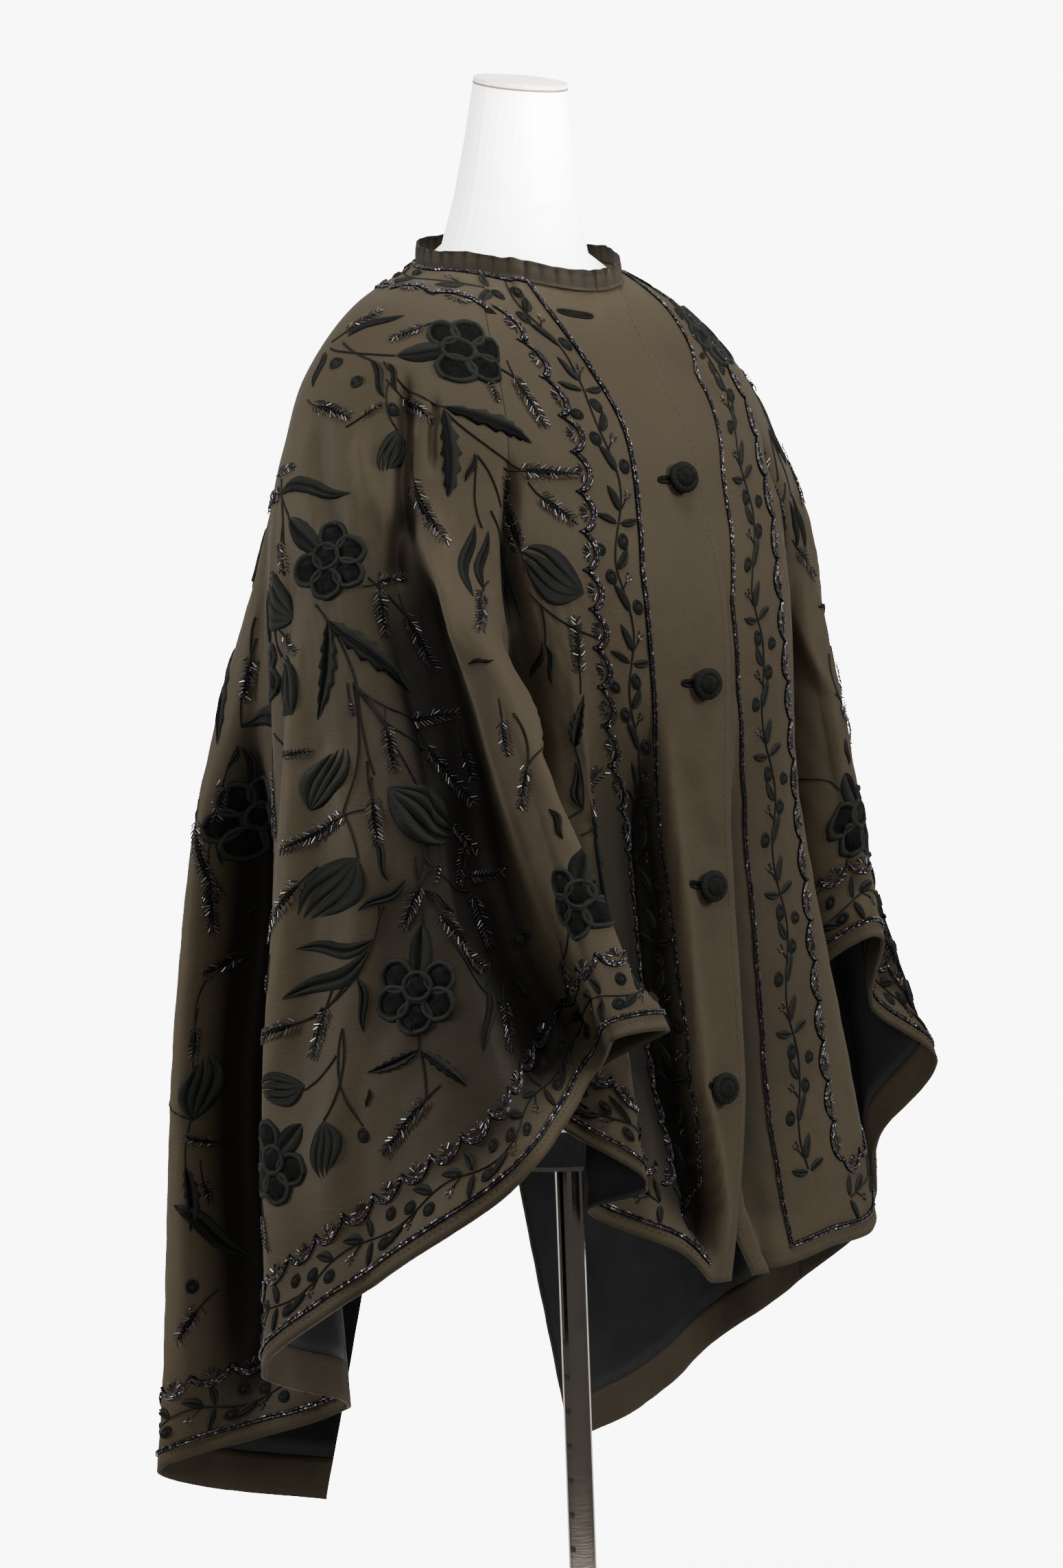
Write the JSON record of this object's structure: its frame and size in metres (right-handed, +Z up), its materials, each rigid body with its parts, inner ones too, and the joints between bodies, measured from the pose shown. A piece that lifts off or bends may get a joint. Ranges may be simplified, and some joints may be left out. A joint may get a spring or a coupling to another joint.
{
  "type": "dolman mantle on a dress form",
  "caption": "Victorian dolman mantle with wing sleeves, embroidered and beaded, buttoned on a limbless dress form that stands on a chrome pole and round base.",
  "frame": {"origin": "on the floor, at the centre of the base's underside, under the pole's axis", "axes": "+Z up along the pole; the wearer's front faces -Y and the wearer's right is at -X"},
  "size_m": [0.677, 0.4479, 1.4962],
  "materials": {
    "mantle_cloth": "brown-olive ribbed silk, soft sheen",
    "facing_cloth": "the same brown silk, turned in at the hem",
    "lining_cloth": "near-black polished lining",
    "button_silk": "buttons covered in green-black thread",
    "form_white": "smooth white",
    "block_black": "matt black",
    "cap_metal": "brushed cap on the neck",
    "pole_steel": "polished chrome"
  },
  "bodies": {
    "root": {"front_right": "mantle_cloth", "front_left": "mantle_cloth", "sleeve_right": "mantle_cloth", "sleeve_left": "mantle_cloth", "back_right": "mantle_cloth", "back_left": "mantle_cloth", "collar": "mantle_cloth", "facing_sleeve_right": "facing_cloth", "facing_sleeve_left": "facing_cloth", "facing_back_right": "facing_cloth", "facing_back_left": "facing_cloth", "lining_sleeve_right": "lining_cloth", "lining_sleeve_left": "lining_cloth", "lining_back_right": "lining_cloth", "lining_back_left": "lining_cloth", "button_1": "button_silk", "button_2": "button_silk", "button_3": "button_silk", "button_4": "button_silk", "form_torso": "form_white", "neck_cap": "cap_metal", "form_block": "block_black", "stand_flange": "pole_steel", "stand_pole": "pole_steel", "stand_base": "pole_steel"}
  },
  "joints": []
}
